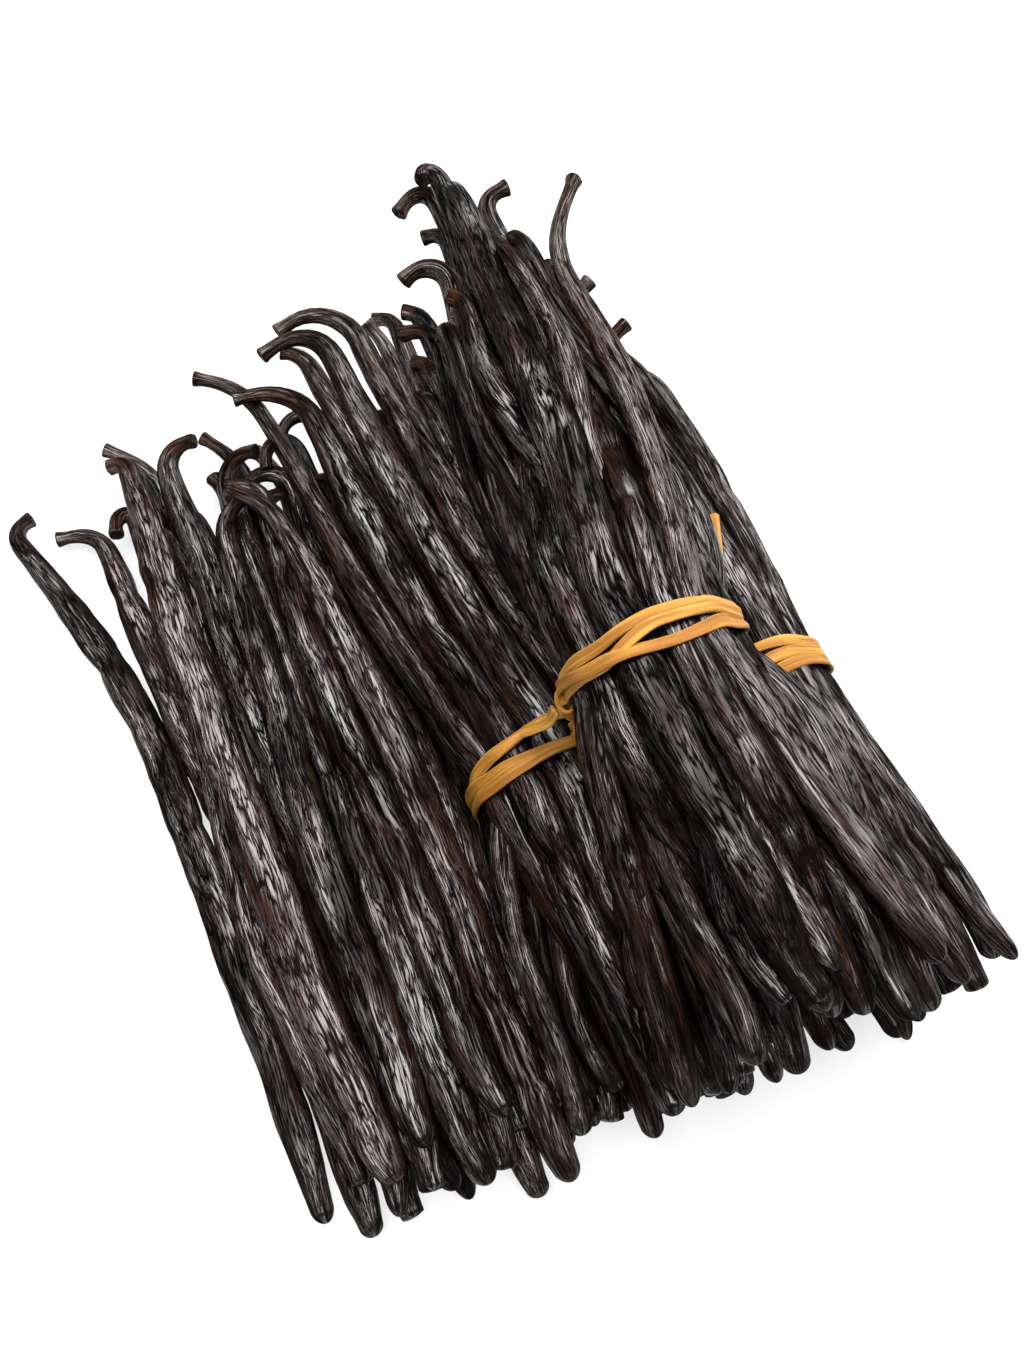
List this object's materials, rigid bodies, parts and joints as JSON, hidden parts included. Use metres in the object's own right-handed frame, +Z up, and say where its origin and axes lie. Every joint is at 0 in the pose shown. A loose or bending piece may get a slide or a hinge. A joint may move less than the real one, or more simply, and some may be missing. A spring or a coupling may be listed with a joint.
{
  "type": "vanilla pod bundle",
  "caption": "Heap of dried vanilla pods: bunches tied round the waist with raffia, one lying on top of the others, and loose pods beside them, stem ends curled.",
  "frame": {"origin": "on the surface the heap rests on, below the middle of the heap", "axes": "+Z up, +Y along the pods towards their curled stem ends, +X across the bunches towards the right-hand one"},
  "size_m": [0.1546, 0.1882, 0.0728],
  "materials": {
    "pods": "wrinkled, oily sheen",
    "raffia": "satin, fibrous"
  },
  "bodies": {
    "root": {"bunch_middle": "pods", "bunch_right": "pods", "bunch_front": "pods", "fan_left": "pods", "tie_front": "raffia", "tie_middle": "raffia", "tie_right": "raffia"}
  },
  "joints": []
}
